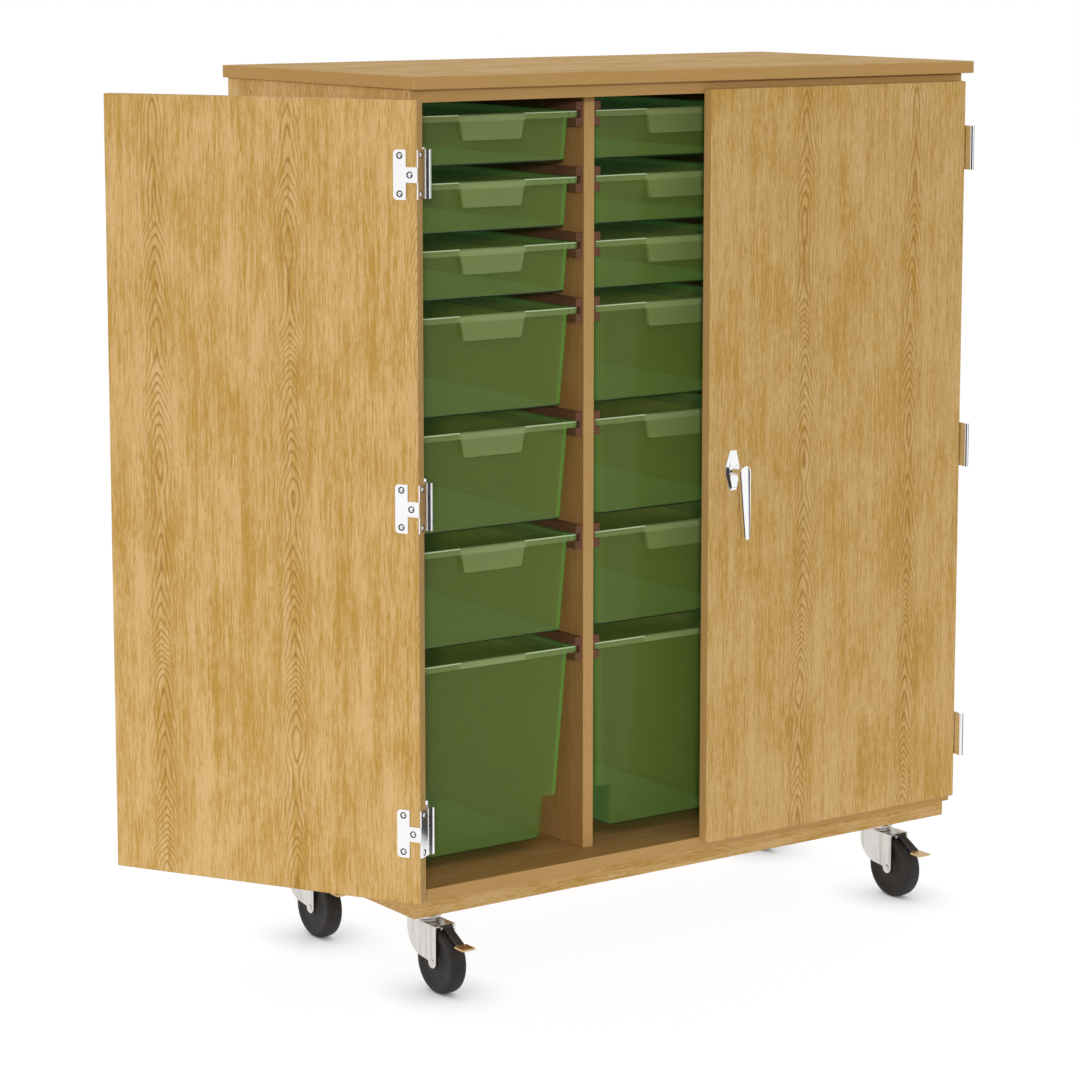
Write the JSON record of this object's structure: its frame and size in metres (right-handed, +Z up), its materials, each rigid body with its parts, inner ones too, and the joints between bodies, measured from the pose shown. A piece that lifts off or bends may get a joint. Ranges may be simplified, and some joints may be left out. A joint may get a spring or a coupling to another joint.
{
  "type": "mobile storage cabinet",
  "caption": "Oak-veneer cabinet on braked swivel casters, with hinged doors over columns of translucent pull-out trays.",
  "frame": {"origin": "middle of the footprint of the part as stored, left door swung open, on the floor", "axes": "+Z up, +X along the front to the right as seen from the front, +Y from the front to the back"},
  "size_m": [1.3336, 0.5836, 1.369],
  "materials": {
    "oak_veneer": "satin oak veneer",
    "tray_plastic": "translucent green moulding",
    "chrome": "polished plate",
    "bright_steel": "bright zinc plate",
    "wheel_rubber": "hard rubber"
  },
  "bodies": {
    "carcass": {"top_slab": "oak_veneer", "top_panel": "oak_veneer", "bottom_panel": "oak_veneer", "side_left": "oak_veneer", "side_right": "oak_veneer", "divider_left": "oak_veneer", "divider_right": "oak_veneer", "back_panel": "oak_veneer", "caster_base": "oak_veneer", "frame_leaf_left_low": "chrome", "frame_leaf_left_mid": "chrome", "frame_leaf_left_top": "chrome", "frame_leaf_right_low": "chrome", "frame_leaf_right_mid": "chrome", "frame_leaf_right_top": "chrome"},
    "left_door": {"door_left": "oak_veneer", "door_leaf_left_low": "chrome", "door_leaf_left_mid": "chrome", "door_leaf_left_top": "chrome"},
    "right_door": {"door_right": "oak_veneer", "lever_rose": "chrome", "door_leaf_right_low": "chrome", "door_leaf_right_mid": "chrome", "door_leaf_right_top": "chrome"},
    "lever": {"lever_handle": "chrome"},
    "upper_latch_rod": {"latch_rod_upper": "bright_steel"},
    "lower_latch_rod": {"latch_rod_lower": "bright_steel"},
    "tray_c1_r1": {"tray_c1_r1": "tray_plastic"},
    "tray_c1_r2": {"tray_c1_r2": "tray_plastic"},
    "tray_c1_r3": {"tray_c1_r3": "tray_plastic"},
    "tray_c1_r4": {"tray_c1_r4": "tray_plastic"},
    "tray_c1_r5": {"tray_c1_r5": "tray_plastic"},
    "tray_c1_r6": {"tray_c1_r6": "tray_plastic"},
    "tray_c1_r7": {"tray_c1_r7": "tray_plastic"},
    "fork_front_left": {"fork_front_left": "bright_steel"},
    "wheel_front_left": {"wheel_front_left": "wheel_rubber"},
    "brake_front_left": {"brake_front_left": "bright_steel"},
    "fork_front_right": {"fork_front_right": "bright_steel"},
    "wheel_front_right": {"wheel_front_right": "wheel_rubber"},
    "brake_front_right": {"brake_front_right": "bright_steel"},
    "fork_rear_left": {"fork_rear_left": "bright_steel"},
    "wheel_rear_left": {"wheel_rear_left": "wheel_rubber"},
    "brake_rear_left": {"brake_rear_left": "bright_steel"},
    "fork_rear_right": {"fork_rear_right": "bright_steel"},
    "wheel_rear_right": {"wheel_rear_right": "wheel_rubber"},
    "brake_rear_right": {"brake_rear_right": "bright_steel"},
    "tray_c2_r1": {"tray_c2_r1": "tray_plastic"},
    "tray_c2_r2": {"tray_c2_r2": "tray_plastic"},
    "tray_c2_r3": {"tray_c2_r3": "tray_plastic"},
    "tray_c2_r4": {"tray_c2_r4": "tray_plastic"},
    "tray_c2_r5": {"tray_c2_r5": "tray_plastic"},
    "tray_c2_r6": {"tray_c2_r6": "tray_plastic"},
    "tray_c2_r7": {"tray_c2_r7": "tray_plastic"},
    "tray_c3_r1": {"tray_c3_r1": "tray_plastic"},
    "tray_c3_r2": {"tray_c3_r2": "tray_plastic"},
    "tray_c3_r3": {"tray_c3_r3": "tray_plastic"},
    "tray_c3_r4": {"tray_c3_r4": "tray_plastic"},
    "tray_c3_r5": {"tray_c3_r5": "tray_plastic"},
    "tray_c3_r6": {"tray_c3_r6": "tray_plastic"},
    "tray_c3_r7": {"tray_c3_r7": "tray_plastic"}
  },
  "joints": [
    {"name": "left_door_swing", "type": "hinge", "parent": "carcass", "child": "left_door", "pos_m": [-0.3794, -0.26251, 0.75525], "axis": [0, 0, -1], "range_deg": [-239.6, 30.4]},
    {"name": "right_door_swing", "type": "hinge", "parent": "carcass", "child": "right_door", "pos_m": [0.6526, -0.26251, 0.75525], "axis": [0, 0, 1], "range_deg": [0, 255]},
    {"name": "lever_turn", "type": "hinge", "parent": "right_door", "child": "lever", "pos_m": [0.1831, -0.24982, 0.75525], "axis": [0, -1, 0], "range_deg": [0, 90]},
    {"name": "upper_rod_slide", "type": "slide", "parent": "right_door", "child": "upper_latch_rod", "axis": [0, 0, 1], "range_m": [0, 0.01205]},
    {"name": "lower_rod_slide", "type": "slide", "parent": "right_door", "child": "lower_latch_rod", "axis": [0, 0, -1], "range_m": [0, 0.01205]},
    {"name": "tray_c1_r1_slide", "type": "slide", "parent": "carcass", "child": "tray_c1_r1", "axis": [0, -1, 0], "range_m": [0, 0.38]},
    {"name": "tray_c1_r2_slide", "type": "slide", "parent": "carcass", "child": "tray_c1_r2", "axis": [0, -1, 0], "range_m": [0, 0.38]},
    {"name": "tray_c1_r3_slide", "type": "slide", "parent": "carcass", "child": "tray_c1_r3", "axis": [0, -1, 0], "range_m": [0, 0.38]},
    {"name": "tray_c1_r4_slide", "type": "slide", "parent": "carcass", "child": "tray_c1_r4", "axis": [0, -1, 0], "range_m": [0, 0.38]},
    {"name": "tray_c1_r5_slide", "type": "slide", "parent": "carcass", "child": "tray_c1_r5", "axis": [0, -1, 0], "range_m": [0, 0.38]},
    {"name": "tray_c1_r6_slide", "type": "slide", "parent": "carcass", "child": "tray_c1_r6", "axis": [0, -1, 0], "range_m": [0, 0.38]},
    {"name": "tray_c1_r7_slide", "type": "slide", "parent": "carcass", "child": "tray_c1_r7", "axis": [0, -1, 0], "range_m": [0, 0.38]},
    {"name": "swivel_front_left", "type": "hinge", "parent": "carcass", "child": "fork_front_left", "pos_m": [-0.3106, -0.14472, 0.133], "axis": [0, 0, 1], "continuous": true},
    {"name": "roll_front_left", "type": "hinge", "parent": "fork_front_left", "child": "wheel_front_left", "pos_m": [-0.3106, -0.18421, 0.05], "axis": [1, 0, 0], "continuous": true},
    {"name": "pedal_front_left", "type": "hinge", "parent": "fork_front_left", "child": "brake_front_left", "pos_m": [-0.3106, -0.19772, 0.1045], "axis": [1, 0, 0], "range_deg": [0, 3]},
    {"name": "swivel_front_right", "type": "hinge", "parent": "carcass", "child": "fork_front_right", "pos_m": [0.5838, -0.14472, 0.133], "axis": [0, 0, 1], "continuous": true},
    {"name": "roll_front_right", "type": "hinge", "parent": "fork_front_right", "child": "wheel_front_right", "pos_m": [0.5838, -0.18421, 0.05], "axis": [1, 0, 0], "continuous": true},
    {"name": "pedal_front_right", "type": "hinge", "parent": "fork_front_right", "child": "brake_front_right", "pos_m": [0.5838, -0.19772, 0.1045], "axis": [1, 0, 0], "range_deg": [0, 3]},
    {"name": "swivel_rear_left", "type": "hinge", "parent": "carcass", "child": "fork_rear_left", "pos_m": [-0.3106, 0.20528, 0.133], "axis": [0, 0, 1], "continuous": true},
    {"name": "roll_rear_left", "type": "hinge", "parent": "fork_rear_left", "child": "wheel_rear_left", "pos_m": [-0.3106, 0.16578, 0.05], "axis": [1, 0, 0], "continuous": true},
    {"name": "pedal_rear_left", "type": "hinge", "parent": "fork_rear_left", "child": "brake_rear_left", "pos_m": [-0.3106, 0.15229, 0.1045], "axis": [1, 0, 0], "range_deg": [0, 3]},
    {"name": "swivel_rear_right", "type": "hinge", "parent": "carcass", "child": "fork_rear_right", "pos_m": [0.5838, 0.20528, 0.133], "axis": [0, 0, 1], "continuous": true},
    {"name": "roll_rear_right", "type": "hinge", "parent": "fork_rear_right", "child": "wheel_rear_right", "pos_m": [0.5838, 0.16578, 0.05], "axis": [1, 0, 0], "continuous": true},
    {"name": "pedal_rear_right", "type": "hinge", "parent": "fork_rear_right", "child": "brake_rear_right", "pos_m": [0.5838, 0.15229, 0.1045], "axis": [1, 0, 0], "range_deg": [0, 3]},
    {"name": "tray_c2_r1_slide", "type": "slide", "parent": "carcass", "child": "tray_c2_r1", "axis": [0, -1, 0], "range_m": [0, 0.04]},
    {"name": "tray_c2_r2_slide", "type": "slide", "parent": "carcass", "child": "tray_c2_r2", "axis": [0, -1, 0], "range_m": [0, 0.04]},
    {"name": "tray_c2_r3_slide", "type": "slide", "parent": "carcass", "child": "tray_c2_r3", "axis": [0, -1, 0], "range_m": [0, 0.04]},
    {"name": "tray_c2_r4_slide", "type": "slide", "parent": "carcass", "child": "tray_c2_r4", "axis": [0, -1, 0], "range_m": [0, 0.04]},
    {"name": "tray_c2_r5_slide", "type": "slide", "parent": "carcass", "child": "tray_c2_r5", "axis": [0, -1, 0], "range_m": [0, 0.04]},
    {"name": "tray_c2_r6_slide", "type": "slide", "parent": "carcass", "child": "tray_c2_r6", "axis": [0, -1, 0], "range_m": [0, 0.04]},
    {"name": "tray_c2_r7_slide", "type": "slide", "parent": "carcass", "child": "tray_c2_r7", "axis": [0, -1, 0], "range_m": [0, 0.04]},
    {"name": "tray_c3_r1_slide", "type": "slide", "parent": "carcass", "child": "tray_c3_r1", "axis": [0, -1, 0], "range_m": [0, 0.04]},
    {"name": "tray_c3_r2_slide", "type": "slide", "parent": "carcass", "child": "tray_c3_r2", "axis": [0, -1, 0], "range_m": [0, 0.04]},
    {"name": "tray_c3_r3_slide", "type": "slide", "parent": "carcass", "child": "tray_c3_r3", "axis": [0, -1, 0], "range_m": [0, 0.04]},
    {"name": "tray_c3_r4_slide", "type": "slide", "parent": "carcass", "child": "tray_c3_r4", "axis": [0, -1, 0], "range_m": [0, 0.04]},
    {"name": "tray_c3_r5_slide", "type": "slide", "parent": "carcass", "child": "tray_c3_r5", "axis": [0, -1, 0], "range_m": [0, 0.04]},
    {"name": "tray_c3_r6_slide", "type": "slide", "parent": "carcass", "child": "tray_c3_r6", "axis": [0, -1, 0], "range_m": [0, 0.04]},
    {"name": "tray_c3_r7_slide", "type": "slide", "parent": "carcass", "child": "tray_c3_r7", "axis": [0, -1, 0], "range_m": [0, 0.04]}
  ],
  "couplings": [
    {"joint": "upper_rod_slide", "follows": "lever_turn", "m_per_rad": 0.007652},
    {"joint": "lower_rod_slide", "follows": "lever_turn", "m_per_rad": 0.007652}
  ]
}
